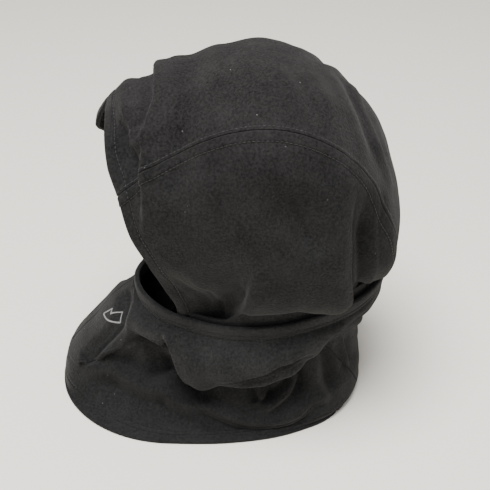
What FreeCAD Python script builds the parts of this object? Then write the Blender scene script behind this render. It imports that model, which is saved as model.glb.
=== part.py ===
"""Hinged fleece balaclava standing on its bib: a hood of three panels over a neck tube with a turned-down
mask roll and a spreading bib. Millimetres, +Z up, face towards -Y, the wearer's left at +X.
The origin is under the middle of the whole, on the surface that the bib's hem stands on."""

import FreeCAD, Part
import math
import os

from FreeCAD import Vector

# ---- driving dimensions -------------------------------------------------------------------------------------

FLEECE = 2.5  # thickness of one layer of fleece
HEM = 4.0  # a turned hem: two layers pressed together
SEAM_GAP = 0.3  # between panels that a seam strip joins
BITE = 0.3  # how deep a seam or a row of stitches sits in the fleece
STRIP = 0.7  # how far a seam strip stands proud
THREAD = 0.5  # how far a row of stitches stands proud
THREAD_WIDTH = 1.0
HEM_PROUD = 0.5  # how far a turned hem stands proud of the panel beside it
CROWN_SEAM_HALF_WIDTH = 3.0
TOPSTITCH_ASIDE = 2.3  # from a lapped seam's middle to each row of stitches

# The rim of the neck tube, an ellipse that is higher at the nape.
RIM_HALF_WIDTH = 74.0
RIM_HALF_LENGTH = 106.5
RIM_MID_Y = 33.0
RIM_FRONT_Z = 105.0
RIM_NAPE_RISE = 15.0
RIM_SIDE_DIP = 9.0
RIM_HEM_HEIGHT = 9.0
RIM_STITCH_ROWS = (3.4, 0.9)  # up from the hem's lower edge

# The mask roll: the slack of the tube hangs over itself at the sides, hangs flatter at the back, and runs
# straight down and outwards at the front. Each is (out, down) from the rim.
SIDE_PROFILE = [(0.0, 9.3), (7.0, 19.0), (12.0, 31.0), (11.5, 41.0), (4.0, 46.5), (-4.0, 43.0)]
BACK_PROFILE = [(0.0, 9.3), (1.5, 19.0), (2.0, 30.0), (0.0, 40.0), (-6.0, 46.0), (-12.0, 43.0)]
FRONT_PROFILE = [(3.0, 9.3), (16.0, 15.0), (28.0, 28.0), (38.0, 41.0), (48.0, 54.0), (58.0, 66.0)]
FRONT_SPREAD = 34.0  # degrees over which the front turns into the sides
BACK_SPREAD = 42.0

# The bib's outline on the surface.
BIB_FRONT_Y = -142.5
BIB_BACK_Y = 115.5
BIB_WIDEST_Y = -38.0
BIB_HALF_WIDTH = 98.0
BIB_BACK_POWER = 2.6  # above 2 squares off the back corners
BIB_HEM_HEIGHT = 14.0
BIB_SIDE_SEAM = 148.0  # degrees from the front
BIB_FLARE = 1.5
BIB_GAP = 1.2  # from the hem's top to the bib's outside
BIB_STITCH_DEPTH = 2.5  # down from the hem's top to its stitches

# Seams of the neck tube.
MASK_PANEL_EDGE = 0.2  # degrees from the mask's front and back to the edge of each half
MASK_FRONT_SEAM_REACH = 1.8  # degrees each side
MASK_BACK_SEAM_REACH = 2.0
BIB_PANEL_EDGE = 0.2
BIB_SEAM_REACH = 1.6
NECK_SEAM_OUTER, NECK_SEAM_INNER = 0.3, 4.0  # inwards from the mask's lower edge
NECK_SEAM_TOP, NECK_SEAM_FOOT = 1.5, -1.0

# The hood: arches from the neck band up to a line along its middle, from the brow over the crown to the nape.
HOOD_INSET = 8.5  # from the rim's outside to the hood's
HOOD_LIFT = 4.3  # of the panels' lower edge above the rim
FACE_LEG = 38.0  # degrees from the front, where the face opening's legs stand on the neck band
NAPE_LEG = 150.0
MIDLINE = [(-94.0, 230.0), (-90.0, 252.0), (-60.0, 284.0), (-10.0, 303.0), (42.0, 303.5), (91.0, 281.0),
           (127.0, 237.0), (142.5, 184.0), (141.0, 148.0), (131.0, 124.3)]  # y, z
CHEEK_BULGE = 36.0  # how far an arch bellies out past its leg, at the face
SIDE_BULGE = 46.0  # and at the ears
WIDEST_ARCH = 0.35
CROWN_SEAM = [0.52, 0.60, 0.69]  # how far up an arch the crown panel starts, at the face, half way and the nape
FACE_HEM_WIDTH = 9.0
NECK_BAND_DEPTH = 14.0  # below the rim
NECK_BAND_SEAM_HALF_HEIGHT = 2.5

NAPE_GUSSET_REACH = 30.0  # degrees each side of the middle
NAPE_GUSSET_DEPTH = 32.0
NAPE_GUSSET_DROP = 1.0  # below the rim's hem
NAPE_GUSSET_INSET = 4.8  # from the rim's outside
NAPE_GUSSET_THICK = 1.6
LABEL_WIDTH = 26.0
LABEL_HEIGHT = 18.0
LABEL_INSET = 15.5
LABEL_RISE = 2.0  # above the gusset's lower edge
LABEL_THICK = 0.8

INSIDE = Vector(0, RIM_MID_Y, 120)  # a point that every layer of fabric faces away from
RULE_FORWARD = 1  # rules a surface between two edges without turning either round


# ---- lines and surfaces -------------------------------------------------------------------------------------

def spline_through(points):
    """A smooth open curve through points, and its length range."""
    curve = Part.BSplineCurve()
    curve.interpolate([Vector(*p) for p in points])
    return curve


def share(curve, fraction):
    """The point a fraction of the way along a curve's parameter."""
    first, last = curve.FirstParameter, curve.LastParameter
    return curve.value(first + (last - first) * min(max(fraction, 0.0), 1.0))


MIDLINE_CURVE = spline_through([(0.0, y, z) for y, z in MIDLINE])


def rim(degrees, out=0.0, down=0.0):
    """A point on the neck tube's rim, moved outwards in plan and down. 0 degrees is the front, 90 the left."""
    a = math.radians(degrees)
    across, along = math.sin(a), -math.cos(a)
    normal = Vector(RIM_HALF_LENGTH * across, RIM_HALF_WIDTH * along, 0).normalize()
    z = RIM_FRONT_Z + RIM_NAPE_RISE * (1 + along) / 2 - RIM_SIDE_DIP * across**2
    base = Vector(RIM_HALF_WIDTH * across, RIM_MID_Y + RIM_HALF_LENGTH * along, z - down)
    return base + normal * out


def nearness(degrees, middle, spread):
    """1 at an angle round the neck tube, falling smoothly to 0 away from it."""
    away = (degrees - middle + 180) % 360 - 180
    return math.exp(-((away / spread) ** 2))


def frontness(degrees):
    return nearness(degrees, 0, FRONT_SPREAD)


def mask_row(degrees, row):
    """The mask at one angle and one row of its profile."""
    front, back = frontness(degrees), nearness(degrees, 180, BACK_SPREAD)
    out, down = (
        at_side * (1 - front - back) + at_front * front + at_back * back
        for at_side, at_front, at_back in zip(SIDE_PROFILE[row], FRONT_PROFILE[row], BACK_PROFILE[row])
    )
    return rim(degrees, out, down)


def mask_surface(degrees, v):
    """The mask's outside, v from its rim hem at 0, over the roll, to the neck seam at 1."""
    rows = spline_through([mask_row(degrees, k) for k in range(len(SIDE_PROFILE))])
    return share(rows, v)


def bib_half_width(y):
    """Half the bib's width where its outline crosses y."""
    if y < BIB_WIDEST_Y:
        power, way = 2.0, (BIB_WIDEST_Y - y) / (BIB_WIDEST_Y - BIB_FRONT_Y)
    else:
        power, way = BIB_BACK_POWER, (y - BIB_WIDEST_Y) / (BIB_BACK_Y - BIB_WIDEST_Y)
    return BIB_HALF_WIDTH * max(0.0, 1 - min(way, 1.0) ** power) ** (1 / power)


def bib_outline(degrees, inset=0.0, z=0.0):
    """A point on the bib's outline, at the same angles as the rim's, set in by a distance."""
    middle = (BIB_FRONT_Y + BIB_BACK_Y) / 2
    half = (BIB_BACK_Y - BIB_FRONT_Y) / 2

    def at(angle):
        a = math.radians(angle)
        y = middle - half * math.cos(a)
        return Vector(math.copysign(bib_half_width(y), math.sin(a)), y, z)

    step = 1.0
    along = at(degrees + step) - at(degrees - step)
    normal = Vector(along.y, -along.x, 0).normalize()
    here = at(degrees)
    if normal.dot(here - Vector(0, middle, z)) < 0:
        normal = normal * -1
    return here - normal * inset


def bib_surface(degrees, v):
    """The bib's outside, v from the neck seam at 0 to its bottom hem at 1."""
    top = mask_surface(degrees, 1.0)
    foot = bib_outline(degrees, 0.0, BIB_HEM_HEIGHT)
    w = frontness(degrees)
    plan = (1 - (1 - v) ** BIB_FLARE) * w + v**BIB_FLARE * (1 - w)
    return Vector(
        top.x + (foot.x - top.x) * plan,
        top.y + (foot.y - top.y) * plan,
        top.z + (foot.z + BIB_GAP - top.z) * v,
    )


def bulge(s):
    """How far the hood's arch number s, from 0 at the face to 1 at the nape, bellies out."""
    if s < WIDEST_ARCH:
        return SIDE_BULGE - (SIDE_BULGE - CHEEK_BULGE) * ((WIDEST_ARCH - s) / WIDEST_ARCH) ** 2
    back = min((s - WIDEST_ARCH) / (1 - WIDEST_ARCH), 1.0)
    return SIDE_BULGE * math.sqrt(1 - back**2)


def arch(s, t):
    """The hood's outside: arch s, t from -1 at its right leg over 0 ... 1 at the middle; t is signed by side."""
    side = -1.0 if t < 0 else 1.0
    rise = math.radians(90 * abs(t))
    leg = rim(FACE_LEG + (NAPE_LEG - FACE_LEG) * s, -HOOD_INSET, -HOOD_LIFT)
    top = share(MIDLINE_CURVE, s)
    x = leg.x * math.cos(rise) + bulge(s) * math.sin(2 * rise)
    lift = math.sin(rise)
    return Vector(side * x, leg.y + (top.y - leg.y) * lift, leg.z + (top.z - leg.z) * lift)


def face_hem_share(t):
    """The width of the face hem as a share of the hood's arches, t of the way up the first arch."""
    step = 0.01
    return FACE_HEM_WIDTH * step / (arch(step, t) - arch(0, t)).Length


def hood_surface(u, t):
    """The hood's outside, u from the face hem's back edge at 0 to the nape at 1."""
    hem = face_hem_share(t)
    return arch(hem + (1 - hem) * u, t)


def crown_seam(u):
    """How far up an arch the crown seam is."""
    at_face, half_way, at_nape = CROWN_SEAM
    return at_face + (half_way - at_face) * math.sin(math.pi * u) + (at_nape - at_face) * u**2


def per_mm(surface, u, t):
    """How much t changes for each millimetre up the arch."""
    step = 0.002
    return step / (surface(u, t + step) - surface(u, t)).Length


# ---- solids -------------------------------------------------------------------------------------------------

def normal_of(surface, u, v):
    """The unit normal of a surface, on whichever side its parameters give."""
    step = 1e-3
    by_u = surface(min(u + step, 1), v) - surface(max(u - step, 0), v)
    by_v = surface(u, min(v + step, 1)) - surface(u, max(v - step, 0))
    return by_u.cross(by_v).normalize()


def fabric(surface, low, high, across, along):
    """A closed solid over surface(u, v), u and v from 0 to 1, from low to high along its outward normal."""
    grid = []
    for i in range(across + 1):
        shares = [(i / across, j / along) for j in range(along + 1)]
        grid.append([(surface(u, v), normal_of(surface, u, v)) for u, v in shares])
    middle, normal = grid[across // 2][along // 2]
    outwards = math.copysign(1.0, normal.dot(middle - INSIDE))
    skins = []
    for offset in (low, high):
        skin = Part.BSplineSurface()
        skin.interpolate([[p + n * (outwards * offset) for p, n in row] for row in grid])
        skins.append(skin)
    faces = [skin.toShape() for skin in skins]
    for side in range(4):
        faces.append(Part.makeRuledSurface(*[edge_of(skin, side) for skin in skins], RULE_FORWARD))
    return closed(faces)


def edge_of(skin, side):
    """One of the four boundary edges of a B-spline skin."""
    u0, u1, v0, v1 = skin.bounds()
    return (skin.uIso(u0), skin.uIso(u1), skin.vIso(v0), skin.vIso(v1))[side].toShape()


def closed(faces):
    """One solid from faces whose edges meet."""
    shape = Part.makeCompound(faces)
    shape.sewShape(1e-4)
    shell = Part.Shell(shape.Faces)
    solid = Part.Solid(shell)
    if solid.Volume < 0:
        solid.reverse()
    if not (solid.isValid() and solid.isClosed()):
        raise ValueError("a solid isn't closed")
    return solid


def ring(*lines):
    """A closed ring whose section has four corners, each a function of the angle from the front."""
    edges = []
    for line in lines:
        curve = Part.BSplineCurve()
        curve.interpolate(Points=[line(360.0 * k / 72) for k in range(72)], PeriodicFlag=True)
        edges.append(curve.toShape())
    pairs = zip(edges, edges[1:] + edges[:1])
    return closed([Part.makeRuledSurface(a, b) for a, b in pairs])


def save(name, shape):
    """Writes one node, and prints its volume and box."""
    shape.exportStep(os.path.join("parts", name + ".step"))
    box = shape.BoundBox
    print(f"{name:24s} {shape.Volume / 1000:8.2f} cm3  x {box.XMin:7.1f} {box.XMax:7.1f}"
          f"  y {box.YMin:7.1f} {box.YMax:7.1f}  z {box.ZMin:7.1f} {box.ZMax:7.1f}")


# ---- the hood -----------------------------------------------------------------------------------------------

def hood_side(side):
    """A side panel, from the neck band up to the crown seam; side is 1 for the wearer's left."""
    def surface(u, v):
        top = crown_seam(u) - per_mm(hood_surface, u, crown_seam(u)) * SEAM_GAP / 2
        p = hood_surface(u, top * v)
        return Vector(side * p.x, p.y, p.z)
    return fabric(surface, -FLEECE, 0, 28, 14)


def hood_crown():
    """The crown panel, from the brow over the top to the nape."""
    def surface(u, v):
        edge = crown_seam(u) + per_mm(hood_surface, u, crown_seam(u)) * SEAM_GAP / 2
        w = 2 * v - 1
        t = 1 - (1 - edge) * abs(w)
        p = hood_surface(u, t)
        return Vector(math.copysign(p.x, w) if w else 0.0, p.y, p.z)
    return fabric(surface, -FLEECE, 0, 30, 10)


def crown_strip(side, half_width, centre, low, high):
    """A strip along a crown seam: its half width and how far above the seam its middle is, in millimetres."""
    def surface(u, v):
        scale = per_mm(hood_surface, u, crown_seam(u))
        p = hood_surface(u, crown_seam(u) + scale * (centre + half_width * (2 * v - 1)))
        return Vector(side * p.x, p.y, p.z)
    return fabric(surface, low, high, 30, 2)


def crown_seam_strip(side):
    """The lapped seam that joins the crown to a side panel."""
    return crown_strip(side, CROWN_SEAM_HALF_WIDTH, 0.0, -BITE, STRIP)


def crown_stitches(side):
    """Two rows of topstitching, one along each edge of the lapped seam."""
    rows = [crown_strip(side, THREAD_WIDTH / 2, centre, STRIP - BITE, STRIP + THREAD)
            for centre in (-TOPSTITCH_ASIDE, TOPSTITCH_ASIDE)]
    return Part.makeCompound(rows)


def face_arch(width_share, v):
    """The hood's surface round the face opening: v from the right leg over the brow to the left leg."""
    w = 2 * v - 1
    t = 1 - abs(w)
    p = arch(width_share * face_hem_share(t), t)
    return Vector(math.copysign(p.x, w) if w else 0.0, p.y, p.z)


def face_hem():
    """The turned hem round the face opening."""
    inner_edge = 1 - SEAM_GAP / FACE_HEM_WIDTH
    return fabric(lambda u, v: face_arch(inner_edge * u, v), HEM_PROUD - HEM, HEM_PROUD, 3, 36)


def face_hem_stitches():
    """The row of stitches that holds the face hem down, over its back edge."""
    half = THREAD_WIDTH / FACE_HEM_WIDTH
    return fabric(lambda u, v: face_arch(1 + half * (2 * u - 1), v), -BITE, HEM_PROUD + THREAD, 2, 36)


def neck_band():
    """The band along the hood's lower edge, tucked inside the neck tube's rim and open at the throat."""
    def surface(u, v):
        degrees = FACE_LEG + (360 - 2 * FACE_LEG) * u
        height = HOOD_LIFT - SEAM_GAP + NECK_BAND_DEPTH
        return rim(degrees, -HOOD_INSET, NECK_BAND_DEPTH - height * v)
    return fabric(surface, -HEM, 0, 48, 2)


def neck_band_seam():
    """The seam strip that joins the hood's panels to the neck band, just above the rim."""
    def surface(u, v):
        degrees = FACE_LEG + (360 - 2 * FACE_LEG) * (0.01 + 0.98 * u)
        return rim(degrees, -HOOD_INSET, -HOOD_LIFT - NECK_BAND_SEAM_HALF_HEIGHT * (2 * v - 1))
    return fabric(surface, -BITE, STRIP, 48, 2)


# ---- the neck tube and bib ----------------------------------------------------------------------------------

def rim_hem():
    """The turned hem round the neck tube's rim, which is the mask's upper edge."""
    outer, inner, foot = HEM_PROUD, HEM_PROUD - HEM, RIM_HEM_HEIGHT
    return ring(lambda a: rim(a, outer, 0), lambda a: rim(a, outer, foot), lambda a: rim(a, inner, foot),
                lambda a: rim(a, inner, 0))


def rim_hem_stitches():
    """Two rows of stitches round the rim hem."""
    outer, inner = HEM_PROUD + THREAD, HEM_PROUD - BITE
    rows = []
    for up in RIM_STITCH_ROWS:
        top = RIM_HEM_HEIGHT - up
        foot = top + THREAD_WIDTH
        rows.append(ring(
            lambda a, d=top: rim(a, outer, d), lambda a, d=foot: rim(a, outer, d),
            lambda a, d=foot: rim(a, inner, d), lambda a, d=top: rim(a, inner, d)))
    return Part.makeCompound(rows)


def mask_half(side):
    """Half of the mask, between its front and back seams."""
    def surface(u, v):
        p = mask_surface(MASK_PANEL_EDGE + (180 - 2 * MASK_PANEL_EDGE) * u, v)
        return Vector(side * p.x, p.y, p.z)
    return fabric(surface, -FLEECE, 0, 32, 12)


def mask_seam(middle):
    """The seam up the mask's front or back, as a strip over the gap between its halves."""
    reach = MASK_FRONT_SEAM_REACH if middle == 0 else MASK_BACK_SEAM_REACH
    return fabric(lambda u, v: mask_surface(middle + reach * (2 * u - 1), v * 0.96), -BITE, STRIP, 2, 16)


def neck_seam():
    """The seam allowance inside, where the mask is sewn to the bib."""
    def corner(out, up):
        def line(a):
            p = mask_surface(a, 1.0)
            inwards = (rim(a, -1.0) - rim(a, 0.0)) * out
            return p + inwards + Vector(0, 0, up)
        return line
    return ring(corner(NECK_SEAM_OUTER, NECK_SEAM_TOP), corner(NECK_SEAM_OUTER, NECK_SEAM_FOOT),
                corner(NECK_SEAM_INNER, NECK_SEAM_FOOT), corner(NECK_SEAM_INNER, NECK_SEAM_TOP))


def bib_panel(start, stop, across):
    """A panel of the bib between two angles from the front."""
    return fabric(lambda u, v: bib_surface(start + (stop - start) * u, 0.03 + 0.97 * v), -FLEECE, 0, across, 12)


def bib_seam(side):
    """The seam between the bib's front and its back yoke."""
    return fabric(lambda u, v: bib_surface(side * BIB_SIDE_SEAM + BIB_SEAM_REACH * (2 * u - 1), 0.06 + 0.92 * v),
                  -BITE, STRIP, 2, 12)


def flat_ring(outer_inset, inner_inset, z, height):
    """A ring between two insets of the bib's outline, with a level foot."""
    wires = []
    for inset in (outer_inset, inner_inset):
        curve = Part.BSplineCurve()
        points = [bib_outline(360.0 * (k + 0.5) / 72, inset, z) for k in range(72)]
        curve.interpolate(Points=points, PeriodicFlag=True)
        wires.append(Part.Wire(curve.toShape()))
    whole, hole = (Part.Face(w).extrude(Vector(0, 0, height)) for w in wires)
    return whole.cut(hole).Solids[0]


def bib_hem():
    """The turned hem that the whole stands on."""
    return flat_ring(0.0, HEM, 0.0, BIB_HEM_HEIGHT)


def bib_hem_stitches():
    """The row of stitches round the top of the bib's hem."""
    return flat_ring(-THREAD, BITE, BIB_HEM_HEIGHT - BIB_STITCH_DEPTH, THREAD_WIDTH)


def nape_gusset():
    """The piece at the nape that joins the hood to the neck tube, and that the hood tips back on."""
    def surface(u, v):
        degrees = 180 + NAPE_GUSSET_REACH * (2 * u - 1)
        return rim(degrees, -NAPE_GUSSET_INSET, RIM_HEM_HEIGHT + NAPE_GUSSET_DROP + NAPE_GUSSET_DEPTH * v)
    return fabric(surface, -NAPE_GUSSET_THICK, 0, 16, 4)


def care_label():
    """A folded woven label inside the neck tube, under the nape gusset."""
    reach = math.degrees(LABEL_WIDTH / 2 / (RIM_HALF_WIDTH**2 / RIM_HALF_LENGTH))

    def surface(u, v):
        degrees = 180 + reach * (2 * u - 1)
        return rim(degrees, -LABEL_INSET, RIM_HEM_HEIGHT + NAPE_GUSSET_DEPTH - LABEL_RISE + LABEL_HEIGHT * v)
    return fabric(surface, -LABEL_THICK, 0, 6, 2)


# ---- the print ----------------------------------------------------------------------------------------------

# Two plain peaks over a base line, as (degrees, v) corners on the mask.
PRINT_STROKES = [[(6.0, 0.60), (12.5, 0.36), (16.0, 0.49), (20.0, 0.33), (28.0, 0.60)], [(6.0, 0.66), (28.0, 0.66)]]
PRINT_WIDTH = 1.6
PRINT_SUNK, PRINT_PROUD = 0.1, 0.25


def stroke(start, stop):
    """One straight stroke of the print, as a film on the mask."""
    def surface(u, v):
        centre = [start[k] + (stop[k] - start[k]) * (0.04 + 0.92 * u) for k in (0, 1)]
        here = mask_surface(*centre)
        ahead = mask_surface(centre[0] + 0.01 * (stop[0] - start[0]), centre[1] + 0.01 * (stop[1] - start[1]))
        beside = mask_surface(centre[0] + 1.0, centre[1]) - here
        below = mask_surface(centre[0], centre[1] + 0.02) - here
        across = (ahead - here).cross(beside.cross(below)).normalize()
        step_a = across.dot(beside) / beside.Length**2
        step_v = across.dot(below) / below.Length**2
        aside = PRINT_WIDTH * (v - 0.5)
        return mask_surface(centre[0] + step_a * aside, centre[1] + 0.02 * step_v * aside)
    return fabric(surface, -PRINT_SUNK, PRINT_PROUD, 6, 2)


def chest_print():
    """The plain print on the left of the mask."""
    films = [stroke(a, b) for line in PRINT_STROKES for a, b in zip(line, line[1:])]
    return Part.makeCompound(films)


# ---- all of it ----------------------------------------------------------------------------------------------

def main():
    os.makedirs("parts", exist_ok=True)
    save("hood_crown_panel", hood_crown())
    save("hood_left_panel", hood_side(1))
    save("hood_right_panel", hood_side(-1))
    save("crown_seam_left", crown_seam_strip(1))
    save("crown_seam_right", crown_seam_strip(-1))
    save("crown_stitching_left", crown_stitches(1))
    save("crown_stitching_right", crown_stitches(-1))
    save("face_opening_hem", face_hem())
    save("face_hem_stitching", face_hem_stitches())
    save("hood_neck_band", neck_band())
    save("hood_neck_band_seam", neck_band_seam())
    save("mask_rim_hem", rim_hem())
    save("mask_rim_stitching", rim_hem_stitches())
    save("mask_left_panel", mask_half(1))
    save("mask_right_panel", mask_half(-1))
    save("mask_front_seam", mask_seam(0))
    save("mask_back_seam", mask_seam(180))
    save("neck_seam", neck_seam())
    save("bib_front_panel", bib_panel(BIB_PANEL_EDGE - BIB_SIDE_SEAM, BIB_SIDE_SEAM - BIB_PANEL_EDGE, 48))
    save("bib_back_yoke", bib_panel(BIB_SIDE_SEAM + BIB_PANEL_EDGE, 360 - BIB_SIDE_SEAM - BIB_PANEL_EDGE, 14))
    save("bib_seam_left", bib_seam(1))
    save("bib_seam_right", bib_seam(-1))
    save("bib_bottom_hem", bib_hem())
    save("bib_hem_stitching", bib_hem_stitches())
    save("nape_gusset", nape_gusset())
    save("care_label", care_label())
    save("chest_print", chest_print())


main()
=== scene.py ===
import math

import bmesh
import bpy
import numpy as np
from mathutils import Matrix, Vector


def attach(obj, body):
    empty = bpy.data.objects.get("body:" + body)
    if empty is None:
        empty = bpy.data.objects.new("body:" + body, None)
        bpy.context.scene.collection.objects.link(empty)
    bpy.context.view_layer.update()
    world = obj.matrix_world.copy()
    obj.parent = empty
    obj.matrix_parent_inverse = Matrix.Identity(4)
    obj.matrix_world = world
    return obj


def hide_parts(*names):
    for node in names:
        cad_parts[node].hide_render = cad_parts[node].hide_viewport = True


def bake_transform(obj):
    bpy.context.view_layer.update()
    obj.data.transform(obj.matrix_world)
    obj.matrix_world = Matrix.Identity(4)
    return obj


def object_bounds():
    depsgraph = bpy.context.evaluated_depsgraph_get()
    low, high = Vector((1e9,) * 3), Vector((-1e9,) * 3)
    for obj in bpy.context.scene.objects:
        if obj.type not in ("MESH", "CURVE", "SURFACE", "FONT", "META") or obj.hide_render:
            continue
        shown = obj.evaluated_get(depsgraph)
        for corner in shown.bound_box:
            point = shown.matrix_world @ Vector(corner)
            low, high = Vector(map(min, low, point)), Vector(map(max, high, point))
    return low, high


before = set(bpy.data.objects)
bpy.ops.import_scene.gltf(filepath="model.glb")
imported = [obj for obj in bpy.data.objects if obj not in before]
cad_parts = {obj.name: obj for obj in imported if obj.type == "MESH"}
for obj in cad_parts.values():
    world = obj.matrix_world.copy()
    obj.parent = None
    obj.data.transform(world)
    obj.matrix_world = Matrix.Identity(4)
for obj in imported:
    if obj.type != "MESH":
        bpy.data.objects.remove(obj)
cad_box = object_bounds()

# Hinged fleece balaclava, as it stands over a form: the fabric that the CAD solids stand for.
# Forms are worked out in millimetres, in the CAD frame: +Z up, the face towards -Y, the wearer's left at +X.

# ---- forms --------------------------------------------------------------------------------------------------

SEED = 11

# The neck tube's rim, an ellipse that is higher at the nape.
RIM_HALF_WIDTH, RIM_HALF_LENGTH, RIM_MID_Y = 74.0, 106.5, 33.0
RIM_FRONT_Z, RIM_NAPE_RISE, RIM_SIDE_DIP = 105.0, 15.0, 9.0
RIM_HEM, NAPE_TILT = 12.0, 0.22

# The hood's arches.
FACE_LEG, NAPE_LEG = 38.0, 150.0
HOOD_INSET = 8.5
MIDLINE = [(-94.0, 230.0), (-90.0, 252.0), (-60.0, 284.0), (-10.0, 303.0), (42.0, 303.5), (91.0, 281.0),
           (127.0, 237.0), (142.5, 184.0), (141.0, 148.0), (131.0, 124.3)]
CHEEK_BULGE, SIDE_BULGE, WIDEST_ARCH = 36.0, 46.0, 0.35

# The bib's outline on the floor.
BIB_FRONT_Y, BIB_BACK_Y, BIB_WIDEST_Y, BIB_HALF_WIDTH, BIB_BACK_POWER = -142.5, 115.5, -38.0, 98.0, 2.6
BIB_HEM = 14.0


def smooth(x, low=0.0, high=1.0):
    """0 below low, 1 above high, and a smooth rise between."""
    x = np.clip((np.asarray(x, float) - low) / (high - low), 0.0, 1.0)
    return x * x * (3.0 - 2.0 * x)


def eased(x, points):
    """Through (x, y) points with a level stretch at each, so nothing overshoots."""
    xs, ys = np.array(points, float).T
    x = np.clip(np.asarray(x, float), xs[0], xs[-1])
    i = np.clip(np.searchsorted(xs, x, side="right") - 1, 0, len(xs) - 2)
    f = (x - xs[i]) / (xs[i + 1] - xs[i])
    return ys[i] + (ys[i + 1] - ys[i]) * f * f * (3.0 - 2.0 * f)


def spline(points, s, even=False):
    """A smooth curve through points at shares s of its length, or of its count of points if even."""
    p = np.asarray(points, float)
    if even:
        k = np.linspace(0.0, 1.0, len(p))
    else:
        k = np.concatenate([[0.0], np.cumsum(np.linalg.norm(np.diff(p, axis=0), axis=1))])
        k /= k[-1]
    slope = np.gradient(p, k, axis=0)
    s = np.clip(np.asarray(s, float), 0.0, 1.0)
    i = np.clip(np.searchsorted(k, s, side="right") - 1, 0, len(k) - 2)
    gap = (k[i + 1] - k[i])[..., None]
    x = (s - k[i])[..., None] / gap
    return ((2 * x**3 - 3 * x**2 + 1) * p[i] + (x**3 - 2 * x**2 + x) * gap * slope[i]
            + (3 * x**2 - 2 * x**3) * p[i + 1] + (x**3 - x**2) * gap * slope[i + 1])


def rim(degrees, out=0.0, down=0.0):
    """A point on the rim, moved outwards in plan and down. 0 degrees is the front, 90 the wearer's left."""
    a = np.radians(degrees)
    across, along = np.sin(a), -np.cos(a)
    nx, ny = RIM_HALF_LENGTH * across, RIM_HALF_WIDTH * along
    n = np.hypot(nx, ny)
    z = RIM_FRONT_Z + RIM_NAPE_RISE * (1 + along) / 2 - RIM_SIDE_DIP * across**2 - down
    return np.stack(np.broadcast_arrays(
        RIM_HALF_WIDTH * across + out * nx / n, RIM_MID_Y + RIM_HALF_LENGTH * along + out * ny / n, z), -1)


def blouse(s):
    """How much of the hood's slack hangs over the rim at arch s: none at the cheeks."""
    return smooth(s, 0.33, 0.42) * (1 - 0.45 * smooth(s, 0.85, 1.0))


def hood_base(s, t):
    """The hood with no folds: arch s from face to nape; t from 0 at the left leg over 1 at the middle to 2."""
    s, t = np.broadcast_arrays(np.asarray(s, float), np.asarray(t, float))
    side = np.where(t > 1, -1.0, 1.0)
    rise = np.radians(90.0 * np.where(t > 1, 2 - t, t))
    hang = blouse(s)
    leg = rim(FACE_LEG + (NAPE_LEG - FACE_LEG) * s, -HOOD_INSET, 4.0 - 18.0 * hang * (1 - 0.5 * smooth(s, 0.55, 0.75)))
    top = spline(MIDLINE, s)
    ahead = np.clip(1 - s / WIDEST_ARCH, 0, 1)
    behind = np.clip((s - WIDEST_ARCH) / (1 - WIDEST_ARCH), 0, 1)
    bulge = (SIDE_BULGE - (SIDE_BULGE - CHEEK_BULGE) * ahead**2) * np.sqrt(1 - behind**2)
    x = leg[..., 0] * np.cos(rise) + bulge * np.abs(np.sin(2 * rise))**(1.5 - 0.5 * hang)
    lift = np.sin(rise) * (1 - (0.4 + 0.52 * hang) * np.cos(rise)**6)
    y = leg[..., 1] + (top[..., 0] - leg[..., 1]) * np.sin(rise)
    z = leg[..., 2] + (top[..., 1] - leg[..., 2]) * lift - 9.0 * (1 - hang) * (1 - smooth(rise, 0.0, 0.2))
    return np.stack([side * x, y, z], -1)


# The mask roll by angle from the front: (degrees, how far it bulges, how deep it hangs, where it tucks in).
ROLL = [(0, 12, 40, 2), (18, 13, 31, -5), (30, 14, 31, -8), (40, 12, 28, -9), (50, 11, 29, -9), (57, 17, 55, -8),
        (62, 18, 57, -8), (72, 17, 51, -8), (88, 16, 50, -8), (100, 13, 45, -9), (112, 9, 34, -10), (124, 4, 24, -11),
        (140, 1.5, 20, -12), (162, 0.5, 21, -13), (180, 0.5, 23, -13)]
CONE = [(1.5, 9.3), (12.0, 17.0), (23.5, 29.0), (35.5, 44.0), (49.0, 60.5), (62.0, 77.0)]
CONE_SPREAD, CONE_SPREAD_RIM = 24.0, 17.0


def near(degrees, middle, spread):
    away = (degrees - middle + 180.0) % 360.0 - 180.0
    return np.exp(-(away / spread)**2)


def nape_tilt(degrees):
    """How much the tube leans in under its rim, which it does at the nape."""
    return NAPE_TILT * near(degrees, 180.0, 55.0)


def mask_base(degrees, v):
    """The mask: v from the rim's hem at 0, over the roll, to the neck seam at 1."""
    degrees, v = np.broadcast_arrays(np.asarray(degrees, float), np.asarray(v, float))
    turn_now = np.abs((degrees + 180.0) % 360.0 - 180.0)
    turn = np.abs(turn_now - 9.0 * smooth(turn_now, 20, 50) * (1 - smooth(turn_now, 80, 120)) * (v - 0.25))
    angles = [r[0] for r in ROLL]
    out, depth, tuck = (eased(turn, list(zip(angles, column))) for column in list(zip(*ROLL))[1:])
    rest = depth - RIM_HEM
    rows_out = [0 * out, 0.62 * out, 0.95 * out, out, 0.62 * out, tuck]
    rows_down = [0 * rest, 0.2 * rest, 0.45 * rest, 0.75 * rest, rest, 0.9 * rest]
    weight = np.exp(-(turn_now / (CONE_SPREAD_RIM + (CONE_SPREAD - CONE_SPREAD_RIM) * v))**4)
    share = v * 5
    i = np.clip(share.astype(int), 0, 4)
    o = np.zeros_like(v)
    d = np.zeros_like(v)
    for k, (w_out, w_down) in enumerate(zip(rows_out, rows_down)):
        basis = spline(np.eye(6)[:, k:k + 1], v, even=True)[..., 0]
        o = o + basis * (w_out * (1 - weight) + CONE[k][0] * weight)
        d = d + basis * ((w_down + RIM_HEM + 0.3) * (1 - weight) + CONE[k][1] * weight)
    return rim(degrees, o - nape_tilt(degrees) * d, d)


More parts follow.
